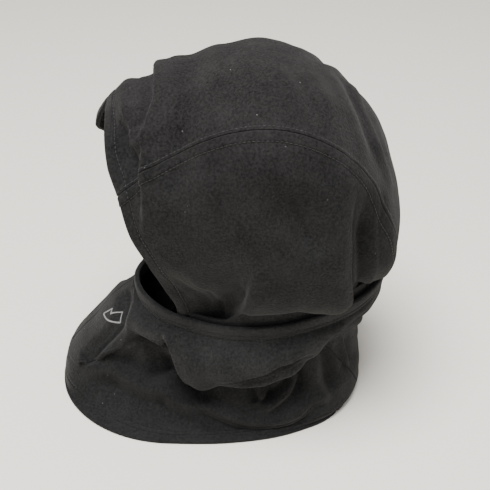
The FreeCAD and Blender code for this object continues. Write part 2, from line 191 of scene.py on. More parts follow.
def bib_half_width(y):
    front = np.clip((BIB_WIDEST_Y - y) / (BIB_WIDEST_Y - BIB_FRONT_Y), 0, 1)
    back = np.clip((y - BIB_WIDEST_Y) / (BIB_BACK_Y - BIB_WIDEST_Y), 0, 1)
    power = BIB_BACK_POWER
    return BIB_HALF_WIDTH * np.where(y < BIB_WIDEST_Y, np.sqrt(1 - front**2), (1 - back**power)**(1 / power))


def bib_outline(degrees):
    a = np.radians(degrees)
    y = (BIB_FRONT_Y + BIB_BACK_Y) / 2 - (BIB_BACK_Y - BIB_FRONT_Y) / 2 * np.cos(a)
    return np.stack([np.sign(np.sin(a)) * bib_half_width(y), y, 0 * y], -1)


def bib_base(degrees, v):
    """The bib: v from the neck seam at 0 to the floor at 1."""
    degrees, v = np.broadcast_arrays(np.asarray(degrees, float), np.asarray(v, float))
    top, foot = mask_base(degrees, 1.0), bib_outline(degrees)
    cone, back = near(degrees, 0.0, 34.0), near(degrees, 180.0, 60.0)
    plan = (1 - (1 - v)**1.5) * cone + (v**1.4 * (1 - back) + (0.4 * v + 0.6 * v**3) * back) * (1 - cone)
    p = top + (foot - top) * plan[..., None]
    fall = 1 - (1 - v)**(1.0 + 0.5 * (1 - cone) * (1 - back))
    p[..., 2] = top[..., 2] * (1 - fall)
    return p


HOOD_GRAIN, TUBE_GRAIN = 1.0, 2.0  # phases that make the two bodies' undulations differ


def undulation(p, phase, rough=1.0):
    """Soft irregular height over points p, in mm, as fabric has where nothing pulls it."""
    rng = np.random.default_rng(SEED + int(phase * 10))
    total = np.zeros(p.shape[:-1])
    for wavelength, height, count in ((85.0, 0.9, 7), (42.0, 0.5, 9), (20.0, 0.2, 10)):
        for _ in range(count):
            way = rng.normal(size=3)
            way *= 2 * math.pi / (wavelength * rng.uniform(0.75, 1.3)) / np.linalg.norm(way)
            total += height * rough / math.sqrt(count) * np.sin(p @ way + rng.uniform(0, 2 * math.pi))
    return total


def normals(p, centre=(0.0, 33.0, 120.0)):
    """Unit normals of a grid of points, facing away from a centre on the whole."""
    n = np.cross(np.gradient(p, axis=0), np.gradient(p, axis=1))
    n /= np.maximum(np.linalg.norm(n, axis=-1, keepdims=True), 1e-9)
    return -n if (n * (p - np.array(centre))).sum(-1).mean() < 0 else n


def surface_normals(base, a, b, step_a, step_b):
    """Outward unit normals of a base form at parameters a, b."""
    n = np.cross(base(a + step_a, b) - base(a - step_a, b), base(a, b + step_b) - base(a, b - step_b))
    n /= np.maximum(np.linalg.norm(n, axis=-1, keepdims=True), 1e-9)
    return n


def fold(base, path, across, ends, lean, p, n):
    """What one fold adds to points p with normals n: a height over a path on the base form.

    across is (mm to the path's right seen from outside, mm of height); ends are the shares of the path over
    which it fades in and out, or 0 to carry on past that end; lean pushes its crest sideways."""
    count = 90
    ab = spline(path, np.linspace(0, 1, count))
    line = base(ab[:, 0], ab[:, 1])
    along = np.gradient(line, axis=0)
    gap = np.linalg.norm(along, axis=1)
    along /= gap[:, None]
    flat, flat_n = p.reshape(-1, 3), n.reshape(-1, 3)
    out = np.zeros_like(flat)
    reach = max(abs(across[0][0]), abs(across[-1][0]))
    low, high = line.min(0) - reach, line.max(0) + reach
    picked = np.where(((flat > low) & (flat < high)).all(1))[0]
    if not len(picked):
        return out.reshape(p.shape)
    q, qn = flat[picked], flat_n[picked]
    nearest = np.concatenate([
        ((part[:, None] - line[None])**2).sum(-1).argmin(1) for part in np.array_split(q, len(q) // 4000 + 1)])
    away = q - line[nearest]
    ahead = (away * along[nearest]).sum(1)
    share = (nearest + ahead / gap[nearest]) / (count - 1)
    right = np.cross(along[nearest], qn)
    right /= np.maximum(np.linalg.norm(right, axis=1, keepdims=True), 1e-9)
    beside = away - ahead[:, None] * along[nearest]
    distance = np.linalg.norm(beside, axis=1) * np.sign((beside * right).sum(1))
    fade = smooth(share, 0.0, ends[0]) if ends[0] else np.ones(len(share))
    if ends[1]:
        fade = fade * (1 - smooth(share, 1 - ends[1], 1.0))
    height = eased(distance, across) * fade
    shift = lean * np.exp(-((distance - math.copysign(2.0, -lean)) / 5.0)**2) * fade
    out[picked] = qn * height[:, None] + right * shift[:, None]
    return out.reshape(p.shape)


def mirrored(item, slide=0.0, scale=1.0):
    """A hood fold on the other side, slid along a little so that the two sides aren't copies."""
    path, across, ends, lean = item
    return ([(s + slide, 2 - t) for s, t in reversed(path)], [(d, h * scale) for d, h in across], ends[::-1], lean)


# Folds over the hood. Each path runs down the left side, so its right is towards the face.
BRIM_STEP = ([(0.185, 1.35), (0.20, 1.2), (0.205, 1.0), (0.21, 0.9), (0.21, 0.79), (0.19, 0.70), (0.175, 0.60),
              (0.165, 0.5), (0.15, 0.44), (0.125, 0.36)],
             [(-78, 0), (-48, -3), (-24, -7.5), (-9, -5), (-2, -2), (3.5, -10), (10, -11), (20, -6), (32, 0)],
             (0.12, 0.22), 3.5)
BRIM_TONGUE = ([(0.19, 0.72), (0.17, 0.69), (0.135, 0.66)],
               [(-14, 0), (-6, 4), (0, 5.5), (6, 4), (14, 0)], (0.3, 0.4), 0.0)
BRIM_VALLEY = ([(0.12, 0.90), (0.125, 0.8), (0.135, 0.68), (0.15, 0.53)],
               [(-13, 0), (-6, 1.5), (0, -5), (5, -6), (10, -2.5), (16, 0)], (0.45, 0.4), 0.0)
CHEEK_FUNNEL = ([(0.225, 0.29), (0.26, 0.215), (0.29, 0.175), (0.31, 0.12), (0.335, 0.05)],
                [(-28, 0), (-12, 0.5), (-3, 0.5), (6, -3.5), (14, -6), (22, -4.5), (36, 0)], (0.4, 0.0), 0.0)
CHEEK_FLAP = ([(0.44, 0.37), (0.42, 0.29), (0.405, 0.22), (0.39, 0.08), (0.38, 0.0)],
              [(-46, 0), (-20, 1.5), (-8, 2), (-1, 0), (6, -9), (13, -11.5), (23, -5), (40, 0)], (0.45, 0.0), 0.5)
EAR_FOLD = ([(0.61, 0.62), (0.62, 0.54), (0.65, 0.44), (0.69, 0.34), (0.73, 0.27), (0.76, 0.19), (0.78, 0.08)],
            [(-60, 0), (-44, 0.5), (-32, -6), (-18, -15), (-9, -12), (-1, 0), (7, 3), (20, 1.5), (40, 0)],
            (0.35, 0.0), -2.0)
EAR_DENT = ([(0.475, 0.55), (0.49, 0.49), (0.53, 0.43), (0.58, 0.36)],
            [(-24, 0), (-9, -5.5), (0, -8.5), (7, -4), (19, 1.2), (36, 0)], (0.35, 0.35), 0.0)
CROWN_CREASES = [
    ([(0.4, 0.95), (0.44, 0.88), (0.475, 0.77), (0.505, 0.69)],
     [(-28, 0), (-12, -1.6), (0, 0.6), (13, 0.2), (32, 0)], (0.35, 0.3), 0.0),
    ([(0.535, 1.05), (0.6, 0.87), (0.63, 0.79), (0.675, 0.72)],
     [(-25, 0), (-11, -1.8), (0, 0.8), (12, -1.2), (29, 0)], (0.45, 0.35), 0.0),
    ([(0.54, 1.12), (0.6, 1.04), (0.63, 0.94), (0.7, 0.82), (0.79, 0.77)],
     [(-25, 0), (-11, -2.4), (0, 1.2), (12, -2.2), (29, 0)], (0.4, 0.3), 0.0),
    ([(0.255, 1.06), (0.265, 0.92), (0.275, 0.79)],
     [(-15, 0), (-5, -1.2), (0, -1.8), (6, -1.2), (16, 0)], (0.3, 0.3), 0.0)]
HOOD_FOLDS = [BRIM_STEP, BRIM_TONGUE, BRIM_VALLEY, CHEEK_FUNNEL, CHEEK_FLAP, EAR_FOLD, EAR_DENT, *CROWN_CREASES,
              mirrored(BRIM_VALLEY, -0.01, 0.8), mirrored(CHEEK_FLAP, 0.03, 0.85),
              mirrored(EAR_FOLD, -0.05, 0.7), mirrored(EAR_DENT, 0.02, 1.2), mirrored(CROWN_CREASES[0], 0.05, 1.2),
              mirrored(CROWN_CREASES[1], -0.03, 1.0)]

# Folds over the mask: (degrees from the front, share down).
MASK_FOLDS = [
    ([(72, 0.62), (80, 0.58), (92, 0.48), (101, 0.40), (108, 0.43), (116, 0.52)],
     [(-16, 0), (-6, 0.8), (0, 1.4), (4, -3), (8, -1.5), (13, 2.2), (21, 0)], (0.35, 0.3), 1.0),
    ([(47, 0.10), (50, 0.30), (56, 0.45), (59, 0.60), (61, 0.78)],
     [(-26, 0), (-9, 2.4), (-1, 2), (5, -5), (13, -4), (24, 0)], (0.25, 0.0), 2.0),
    ([(6, 0.05), (13, 0.12), (18, 0.22), (21, 0.4), (22.5, 0.6), (19, 0.95)],
     [(-15, 0), (-7, 1.5), (-3, -1), (3, -8), (8, -6), (18, 0)], (0.3, 0.0), 0.0),
    ([(30, 0.10), (36, 0.16), (44, 0.18)], [(-12, 0), (0, -2.0), (12, 0)], (0.4, 0.4), 0.0),
    ([(70, 0.12), (68, 0.3), (69, 0.5)], [(-14, 0), (0, -1.6), (14, 0)], (0.4, 0.4), 0.0),
    ([(96, 0.10), (94, 0.25), (95, 0.42)], [(-16, 0), (0, -1.3), (16, 0)], (0.4, 0.4), 0.0)]
MASK_FOLDS += [([(-a, v) for a, v in reversed(path)], [(d, 0.7 * h) for d, h in across], (0.35, 0.35), 0.0)
               for path, across, ends, lean in MASK_FOLDS[:3]]

# Folds over the bib.
BIB_FOLDS = [
    ([(18, 0.44), (33, 0.49), (53, 0.5), (62, 0.46), (70, 0.47), (80, 0.55), (88, 0.62)],
     [(-30, 0), (-13, -6), (0, 4), (13, -6), (29, 0)], (0.2, 0.3), 0.0),
    ([(64, 0.22), (67, 0.3), (74, 0.43), (89, 0.61), (104, 0.74), (117, 0.78), (136, 0.66)],
     [(-30, 0), (-14, 1.5), (-3, 4.5), (2, 0), (6, -4), (14, -3), (26, 0)], (0.25, 0.2), 2.0),
    ([(104, 0.12), (110, 0.22), (113, 0.34), (106, 0.53), (101, 0.55)],
     [(-14, 0), (-6, -4), (-1, 3), (2, 3), (7, -4), (14, 0)], (0.2, 0.25), 1.0),
    ([(93, 0.12), (96, 0.28), (101, 0.46)],
     [(-14, 0), (-6, -3.5), (0, 3.2), (6, -3), (13, 0)], (0.25, 0.3), 0.0),
    ([(114, 0.03), (120, 0.25), (127, 0.52), (140, 0.80)],
     [(-26, 0), (-12, -5), (0, 3.5), (12, -4), (26, 0)], (0.15, 0.3), 0.0),
    ([(43, 0.14), (47, 0.27), (53, 0.38)], [(-20, 0), (-8, -9), (0, -12), (8, -7), (20, 0)], (0.35, 0.35), 0.0),
    ([(58, 0.16), (63, 0.26), (70, 0.33)], [(-16, 0), (-6, -8), (0, -10), (6, -5), (16, 0)], (0.35, 0.35), 0.0),
    ([(137, 0.20), (145, 0.4), (154, 0.62)], [(-12, 0), (-4, -1.5), (0, 2), (5, -1.8), (13, 0)], (0.25, 0.25), 0.0),
    ([(31, 0.0), (27, 0.18), (25, 0.45)], [(-28, 0), (-10, 1), (0, 3.5), (10, -3), (20, -3), (36, 0)],
     (0.2, 0.3), 0.0),
    ([(100, 0.86), (118, 0.86), (140, 0.86), (165, 0.87), (200, 0.88)],
     [(-30, 0), (-12, 4), (2, 5.5), (9, 1), (13, 0)], (0.25, 0.3), 0.0),
    ([(150, 0.15), (166, 0.3), (186, 0.33), (205, 0.28)], [(-18, 0), (-7, -2), (0, 2.5), (8, -2), (18, 0)],
     (0.3, 0.3), 0.0)]
BIB_FOLDS += [([(-a + 4, v) for a, v in reversed(path)], [(-d, h) for d, h in reversed(across)], ends[::-1], -lean)
              for path, across, ends, lean in (BIB_FOLDS[0], BIB_FOLDS[1], BIB_FOLDS[4], BIB_FOLDS[5])]

# Where the crown panel starts, as a share of the way up an arch.
CROWN_SEAM = [(0.0, 0.525), (0.1, 0.54), (0.3, 0.62), (0.4, 0.65), (0.55, 0.67), (0.66, 0.665), (0.82, 0.635),
              (1.0, 0.61)]


def crown_seam(s):
    return eased_line(s, CROWN_SEAM)


def eased_line(x, points):
    """Through (x, y) points, smoothly."""
    xs, ys = np.array(points, float).T
    slope = np.gradient(ys, xs)
    x = np.clip(np.asarray(x, float), xs[0], xs[-1])
    i = np.clip(np.searchsorted(xs, x, side="right") - 1, 0, len(xs) - 2)
    gap = xs[i + 1] - xs[i]
    f = (x - xs[i]) / gap
    return ((2 * f**3 - 3 * f**2 + 1) * ys[i] + (f**3 - 2 * f**2 + f) * gap * slope[i]
            + (3 * f**2 - 2 * f**3) * ys[i + 1] + (f**3 - f**2) * gap * slope[i + 1])


# The front edge of the hood, as an arch number. It falls back towards the legs, and the far side stands forward.
FACE_EDGE = [(0.0, 0.135), (0.1, 0.14), (0.2, 0.135), (0.3, 0.125), (0.42, 0.10), (0.5, 0.095), (0.6, 0.09),
             (0.95, 0.09), (1.02, 0.09), (1.09, 0.055), (1.17, 0.015), (1.3, 0.0), (1.6, 0.01), (1.88, 0.015),
             (2.0, 0.01)]


FAR_BRIM = 9.0


def face_edge(t):
    return eased_line(t, FACE_EDGE)


def hood_form(u, t):
    """The hood with its folds: u from the front edge at 0 to the nape at 1."""
    edge = face_edge(t)
    s = edge + (1 - edge) * u
    p = hood_base(s, t)
    n = surface_normals(hood_base, np.clip(s, 0.004, 0.996), np.clip(t, 0.004, 1.996), 0.004, 0.004)
    n = n * np.where((n * (p - np.array([0.0, 33.0, 150.0]))).sum(-1) < 0, -1.0, 1.0)[..., None]
    leg = np.minimum(t, 2 - t)
    moved = n * (undulation(p, HOOD_GRAIN) * smooth(leg, 0.02, 0.25) * smooth(u, 0.0, 0.06))[..., None]
    reaches = (1 - (1 - smooth(leg, 0.0, 0.1)) * (0.65 + 0.35 * blouse(s)))[..., None]
    for path, across, ends, lean in HOOD_FOLDS:
        moved = moved + fold(hood_base, path, across, ends, lean, p, n) * reaches
    forward = smooth(t, 1.06, 1.2) * (1 - smooth(t, 1.45, 1.8)) * (1 - smooth(u, 0.0, 0.13))
    moved[..., 1] -= FAR_BRIM * forward
    return p + moved


def tube_form(base, folds, centre, held):
    """A mask's or bib's form with its folds; held(v) is how free the fabric is to undulate."""
    def form(degrees, v):
        p = base(degrees, v)
        n = surface_normals(base, degrees, np.clip(v, 0.004, 0.996), 0.4, 0.004)
        n = n * np.where((n * (p - np.array(centre))).sum(-1).mean() < 0, -1.0, 1.0)
        moved = n * (undulation(p, TUBE_GRAIN) * held(v))[..., None]
        for path, across, ends, lean in folds:
            moved = moved + fold(base, path, across, ends, lean, p, n)
        return p, moved
    return form


mask_parts = tube_form(mask_base, MASK_FOLDS, (0.0, 33.0, 90.0),
                       lambda v: smooth(v, 0.0, 0.4) * (1 - smooth(v, 0.6, 1)))
bib_parts = tube_form(bib_base, BIB_FOLDS, (0.0, 33.0, -60.0), lambda v: smooth(v, 0.0, 0.2) * (1 - smooth(v, 0.75, 1)))


def mask_form(degrees, v):
    p, moved = mask_parts(degrees, v)
    return p + moved


def bib_form(degrees, v):
    """The bib with its folds. It leaves the neck seam as the mask reaches it."""
    degrees, v = np.broadcast_arrays(degrees, v)
    p, moved = bib_parts(degrees, v)
    moved[..., 2] *= 1 - smooth(v, 0.75, 1.0)
    edge, pulled = mask_parts(degrees[:, :1], np.ones((len(degrees), 1)))
    return p + moved * smooth(v, 0.0, 0.15)[..., None] + pulled * (1 - smooth(v, 0.0, 0.3))[..., None]


MM = 0.001


# ---- meshes -------------------------------------------------------------------------------------------------

def make(name, points, faces):
    """A smooth-shaded object from points in millimetres."""
    mesh = bpy.data.meshes.new(name)
    mesh.from_pydata((np.asarray(points, float) * MM).tolist(), [], faces)
    mesh.validate()
    mesh.polygons.foreach_set("use_smooth", [True] * len(mesh.polygons))
    mesh.update()
    piece = bpy.data.objects.new(name, mesh)
    bpy.context.scene.collection.objects.link(piece)
    return piece


def layer(name, p, thick, closed=False):
    """A layer of fabric with rounded edges: its outside is the grid p, and it is thick to the inside."""
    n = normals(p)
    if closed:
        n[[0, -1]] = (n[0] + n[-1]) / 2
        p, n = p[:-1], n[:-1]
    rows, columns = p.shape[:2]
    inner, half = p - n * thick, thick / 2
    middle = p - n * half

    def lip(edge, before):
        way = edge - before
        way /= np.maximum(np.linalg.norm(way, axis=-1, keepdims=True), 1e-9)
        return way

    ring = [p[:, j] for j in range(columns)]
    way = lip(p[:, -1], p[:, -2])
    ring += [middle[:, -1] + (way * math.cos(a) + n[:, -1] * math.sin(a)) * half for a in (1.0, 0.0, -1.0)]
    ring += [inner[:, j] for j in range(columns - 1, -1, -1)]
    way = lip(p[:, 0], p[:, 1])
    ring += [middle[:, 0] + (way * math.cos(a) + n[:, 0] * math.sin(a)) * half for a in (-1.0, 0.0, 1.0)]
    grid = np.stack(ring, 1)
    around = grid.shape[1]
    points = grid.reshape(-1, 3)
    last = rows if closed else rows - 1
    i, k = np.meshgrid(np.arange(last), np.arange(around), indexing="ij")
    i, k = i.ravel(), k.ravel()
    i2, k2 = (i + 1) % rows, (k + 1) % around
    faces = np.stack([i * around + k, i * around + k2, i2 * around + k2, i2 * around + k], -1).tolist()
    if not closed:
        for at, before in ((0, 1), (rows - 1, rows - 2)):
            caps = middle[at] + lip(p[at], p[before]) * half
            start = len(points)
            points = np.concatenate([points, caps])
            partner = [columns + 2 + columns - j for j in range(columns)]
            base = at * around
            flip = at == 0
            strips = []
            for j in range(columns - 1):
                strips.append([base + j, base + j + 1, start + j + 1, start + j])
                strips.append([start + j, start + j + 1, base + partner[j + 1], base + partner[j]])
            right, left = columns - 1, 0
            fan = [base + right, base + columns, base + columns + 1, base + columns + 2, base + partner[right]]
            strips += [[a, b, start + right] for a, b in zip(fan, fan[1:])]
            tail = 2 * columns + 3
            fan = [base + partner[left], base + tail, base + tail + 1, base + tail + 2, base]
            strips += [[a, b, start + left] for a, b in zip(fan, fan[1:])]
            faces += [f[::-1] for f in strips] if flip else strips
    piece = make(name, points, faces)
    outward(piece)
    return piece


def outward(piece):
    """Turns every face of a closed mesh outwards."""
    bm = bmesh.new()
    bm.from_mesh(piece.data)
    bmesh.ops.recalc_face_normals(bm, faces=bm.faces)
    bm.to_mesh(piece.data)
    bm.free()


def stitches(name, line, up, length=2.5, gap=0.7, radius=0.3):
    """A row of thread loops along a line of points, lying on a surface whose normals are up."""
    reach = np.concatenate([[0.0], np.cumsum(np.linalg.norm(np.diff(line, axis=0), axis=1))])
    count = int(reach[-1] / (length + gap))
    sides, rings = 6, 7
    points, faces = [], []
    for k in range(count):
        start = (k + 0.5) * reach[-1] / count - length / 2
        at = start + np.linspace(0, length, rings)
        spot = np.stack([np.interp(at, reach, line[:, c]) for c in range(3)], -1)
        high = np.stack([np.interp(at, reach, up[:, c]) for c in range(3)], -1)
        high /= np.linalg.norm(high, axis=1, keepdims=True)
        way = spot[-1] - spot[0]
        way /= np.linalg.norm(way)
        beside = np.cross(high, way)
        arc = np.sin(np.linspace(0, math.pi, rings))
        spot = spot + high * (arc * 0.55 * radius * 2 - radius * 0.6)[:, None]
        thick = radius * (0.65 + 0.35 * arc)
        base = len(points)
        for r in range(rings):
            for c in range(sides):
                a = 2 * math.pi * c / sides
                points.append(spot[r] + (beside[r] * math.cos(a) + high[r] * math.sin(a)) * thick[r])
        for r in range(rings - 1):
            for c in range(sides):
                c2 = (c + 1) % sides
                faces.append([base + r * sides + c, base + r * sides + c2,
                              base + (r + 1) * sides + c2, base + (r + 1) * sides + c])
        faces.append([base + c for c in range(sides)][::-1])
        faces.append([base + (rings - 1) * sides + c for c in range(sides)])
    return make(name, points, faces)


def joined(name, pieces):
    """One object from several."""
    bpy.ops.object.select_all(action="DESELECT")
    for other in pieces:
        other.select_set(True)
    bpy.context.view_layer.objects.active = pieces[0]
    bpy.ops.object.join()
    pieces[0].name = pieces[0].data.name = name
    pieces[0].select_set(False)
    return pieces[0]


# ---- materials ----------------------------------------------------------------------------------------------

def node(tree, kind, at=(0, 0), **values):
    made = tree.nodes.new(kind)
    made.location = at
    for key, value in values.items():
        if hasattr(made, key) and key not in ("Scale",):
            setattr(made, key, value)
        else:
            made.inputs[key.replace("_", " ")].default_value = value
    return made


def fleece(name, dark, light, painted_top_light=(1.0, 1.0, 1.0), painted_light_from=0.0, painted_light_to=1.0, grain=1.0, lint=0.5):
    """Brushed fleece: short pile in soft patches, a little lint, and painted light: a tint that grows with height, so
    the top is painted lighter and the lower part darker, as light and shade fall.
    """
    material = bpy.data.materials.new(name)
    material.use_nodes = True
    tree = material.node_tree
    link = tree.links.new
    shader = tree.nodes["Principled BSDF"]
    shader.inputs["Roughness"].default_value = 0.96
    shader.inputs["Specular IOR Level"].default_value = 0.05
    shader.inputs["Sheen Weight"].default_value = 0.07
    shader.inputs["Sheen Roughness"].default_value = 0.5
    shader.inputs["Sheen Tint"].default_value = (1.0, 0.97, 0.96, 1.0)
    where = node(tree, "ShaderNodeTexCoord")
    patches = node(tree, "ShaderNodeTexNoise", Scale=30.0, Detail=6.0, Roughness=0.6)
    pile = node(tree, "ShaderNodeTexNoise", Scale=520.0, Detail=3.0, Roughness=0.7)
    tufts = node(tree, "ShaderNodeTexNoise", Scale=600.0, Detail=4.0, Roughness=0.65)
    specks = node(tree, "ShaderNodeTexVoronoi", Scale=150.0)
    for texture in (patches, pile, tufts, specks):
        link(where.outputs["Object"], texture.inputs["Vector"])
    fine = node(tree, "ShaderNodeMix")
    fine.inputs["Factor"].default_value = 0.65
    link(patches.outputs["Fac"], fine.inputs[2])
    link(pile.outputs["Fac"], fine.inputs[3])
    ramp = node(tree, "ShaderNodeValToRGB")
    ramp.color_ramp.elements[0].position, ramp.color_ramp.elements[1].position = 0.36, 0.64
    ramp.color_ramp.elements[0].color, ramp.color_ramp.elements[1].color = (*dark, 1), (*light, 1)
    link(fine.outputs[0], ramp.inputs["Fac"])
    # Painted light: by object height the colour is multiplied by a tint, from white low down to the full tint higher
    # up, so the top is painted lighter and the lower part darker as light and shade fall.
    axes = node(tree, "ShaderNodeSeparateXYZ")
    link(where.outputs["Object"], axes.inputs[0])
    high = node(tree, "ShaderNodeMapRange", interpolation_type="SMOOTHSTEP")
    high.inputs["From Min"].default_value, high.inputs["From Max"].default_value = painted_light_from, painted_light_to
    link(axes.outputs["Z"], high.inputs["Value"])
    painted_light_by_height = node(tree, "ShaderNodeMix", data_type="RGBA")
    link(high.outputs[0], painted_light_by_height.inputs["Factor"])
    painted_light_by_height.inputs[6].default_value, painted_light_by_height.inputs[7].default_value = (1, 1, 1, 1), (*painted_top_light, 1)
    toned = node(tree, "ShaderNodeMix", data_type="RGBA", blend_type="MULTIPLY")
    toned.inputs["Factor"].default_value = 1.0
    link(ramp.outputs["Color"], toned.inputs[6])
    link(painted_light_by_height.outputs[2], toned.inputs[7])
    small = node(tree, "ShaderNodeMath", operation="LESS_THAN")
    link(specks.outputs["Distance"], small.inputs[0])
    small.inputs[1].default_value = 0.06
    split = node(tree, "ShaderNodeSeparateColor")
    link(specks.outputs["Color"], split.inputs[0])
    rare = node(tree, "ShaderNodeMath", operation="LESS_THAN")
    link(split.outputs[0], rare.inputs[0])
    rare.inputs[1].default_value = 0.2 * lint
    both = node(tree, "ShaderNodeMath", operation="MULTIPLY")
    link(small.outputs[0], both.inputs[0])
    link(rare.outputs[0], both.inputs[1])
    mix = node(tree, "ShaderNodeMix", data_type="RGBA")
    link(both.outputs[0], mix.inputs["Factor"])
    link(toned.outputs[2], mix.inputs[6])
    mix.inputs[7].default_value = (0.16, 0.16, 0.155, 1)
    link(mix.outputs[2], shader.inputs["Base Color"])
    rough = node(tree, "ShaderNodeMapRange")
    rough.inputs["To Min"].default_value, rough.inputs["To Max"].default_value = 0.9, 1.0
    link(tufts.outputs["Fac"], rough.inputs["Value"])
    link(rough.outputs[0], shader.inputs["Roughness"])
    bump = node(tree, "ShaderNodeBump", Strength=0.7, Distance=0.0009 * grain)
    link(pile.outputs["Fac"], bump.inputs["Height"])
    soft = node(tree, "ShaderNodeBump", Strength=0.6, Distance=0.0011 * grain)
    link(tufts.outputs["Fac"], soft.inputs["Height"])
    link(bump.outputs["Normal"], soft.inputs["Normal"])
    link(soft.outputs["Normal"], shader.inputs["Normal"])
    return material


def twisted(name, colour):
    """Sewing thread: a fine diagonal twist with a slight sheen."""
    material = bpy.data.materials.new(name)
    material.use_nodes = True
    tree = material.node_tree
    shader = tree.nodes["Principled BSDF"]
    shader.inputs["Roughness"].default_value = 0.55
    shader.inputs["Sheen Weight"].default_value = 0.15
    where = node(tree, "ShaderNodeTexCoord")
    twist = node(tree, "ShaderNodeTexWave", Scale=900.0, Distortion=1.5)
    tree.links.new(where.outputs["Object"], twist.inputs["Vector"])
    ramp = node(tree, "ShaderNodeValToRGB")
    ramp.color_ramp.elements[0].color = (*[c * 0.6 for c in colour], 1)
    ramp.color_ramp.elements[1].color = (*colour, 1)
    tree.links.new(twist.outputs["Fac"], ramp.inputs["Fac"])
    tree.links.new(ramp.outputs["Color"], shader.inputs["Base Color"])
    bump = node(tree, "ShaderNodeBump", Strength=0.5, Distance=0.0002)
    tree.links.new(twist.outputs["Fac"], bump.inputs["Height"])
    tree.links.new(bump.outputs["Normal"], shader.inputs["Normal"])
    return material


def printed(name, colour):
    """Rubbery print on fleece: the pile shows through it, and it is worn thin in places."""
    material = bpy.data.materials.new(name)
    material.use_nodes = True
    tree = material.node_tree
    shader = tree.nodes["Principled BSDF"]
    shader.inputs["Roughness"].default_value = 0.6
    where = node(tree, "ShaderNodeTexCoord")
    wear = node(tree, "ShaderNodeTexNoise", Scale=700.0, Detail=3.0)
    tree.links.new(where.outputs["Object"], wear.inputs["Vector"])
    ramp = node(tree, "ShaderNodeValToRGB")
    ramp.color_ramp.elements[0].position, ramp.color_ramp.elements[1].position = 0.3, 0.55
    ramp.color_ramp.elements[0].color = (0.12, 0.12, 0.12, 1)
    ramp.color_ramp.elements[1].color = (*colour, 1)
    tree.links.new(wear.outputs["Fac"], ramp.inputs["Fac"])
    tree.links.new(ramp.outputs["Color"], shader.inputs["Base Color"])
    bump = node(tree, "ShaderNodeBump", Strength=0.4, Distance=0.0004)
    tree.links.new(wear.outputs["Fac"], bump.inputs["Height"])
    tree.links.new(bump.outputs["Normal"], shader.inputs["Normal"])
    return material


# Painted shade: the tube's and hems' colour is plain below 0.03 m and painted 1.5 times lighter by 0.10 m, so the bib
# and its bottom hem stay darker than the mask, as shade under the hood.
TUBE_TONES_AND_PAINTED_SHADE = (0.0072, 0.0072, 0.0073), (0.0206, 0.0206, 0.0208), (1.5, 1.5, 1.5)
# Painted highlight: the hood's colour is painted lighter and warmer above 0.22 m, fully at 0.30 m, as the sheen of the
# light on the crown.
hood_cloth = fleece("hood_fleece", (0.0056, 0.0056, 0.0057), (0.0222, 0.0220, 0.0222), (1.15, 1.05, 1.07), 0.22, 0.30)
tube_cloth = fleece("tube_fleece", *TUBE_TONES_AND_PAINTED_SHADE, 0.03, 0.10)
hem_cloth = fleece("hem_fleece", *TUBE_TONES_AND_PAINTED_SHADE, 0.03, 0.10, grain=0.7)
seam_cloth = fleece("seam_fleece", (0.006, 0.006, 0.006), (0.016, 0.016, 0.016), grain=0.6, lint=0.0)
thread = twisted("thread", (0.0055, 0.0055, 0.0056))
ink = printed("print_ink", (0.24, 0.24, 0.235))
satin = twisted("label_satin", (0.055, 0.055, 0.057))


def dress(piece, body, slot, material, *stands_for):
    """Gives a piece its material and the body that it rides on, and hides the CAD nodes that it stands for."""
    piece.data.materials.clear()
    piece.data.materials.append(material)
    if body:
        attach(piece, body)
    if stands_for:
        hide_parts(*stands_for)
    return piece


# ---- the hood -----------------------------------------------------------------------------------------------

THICK = 2.2
FACE_HEM = 9.0
SEAM_ALLOWANCE = 7.0
FINE = 0.75  # spacing of the columns beside a seam


def side_length(s):
    """How long an arch is from its left leg to its crown seam, and from there to the middle."""
    shares = np.linspace(0, 1, 60)[:, None]
    seam = crown_seam(s)[None]
    lengths = []
    for low, high in ((0 * seam, seam), (seam, 0 * seam + 1)):
        line = hood_base(s[None], low + (high - low) * shares)
        lengths.append(np.linalg.norm(np.diff(line, axis=0), axis=-1).sum(0))
    return lengths


def front_columns(count=150):
    """Shares from the front edge to the nape: fine over the hem, then even."""
    fine = np.arange(0.0, 12.1, 0.8) / 340.0
    return np.concatenate([fine, np.linspace(fine[-1], 1.0, count + 1)[1:]])


U = front_columns()


def hood_grid(which):
    """The points of one panel: 'left', 'crown' or 'right'."""
    u = U[:, None]
    nominal = face_edge(np.full(1, 0.6)) + (1 - face_edge(np.full(1, 0.6))) * U
    side, top = side_length(nominal)
    seam = crown_seam(nominal)
    fine = np.arange(THICK / 2, 10.0, FINE)
    if which == "crown":
        step = (1 - seam)[:, None] / top[:, None]
        start = seam[:, None] + step * fine[None]
        even = np.linspace(0, 1, 70)[None, 1:]
        left = np.concatenate([start, start[:, -1:] + (1 - start[:, -1:]) * even], 1)
        t = np.concatenate([left, (2 - left[:, :-1])[:, ::-1]], 1)
    else:
        step = seam[:, None] / side[:, None]
        start = seam[:, None] - step * fine[None]
        even = np.linspace(0, 1, 80)[None, 1:]
        t = np.concatenate([start, start[:, -1:] * (1 - even)], 1)
        if which == "right":
            t = 2 - t
    return u, t


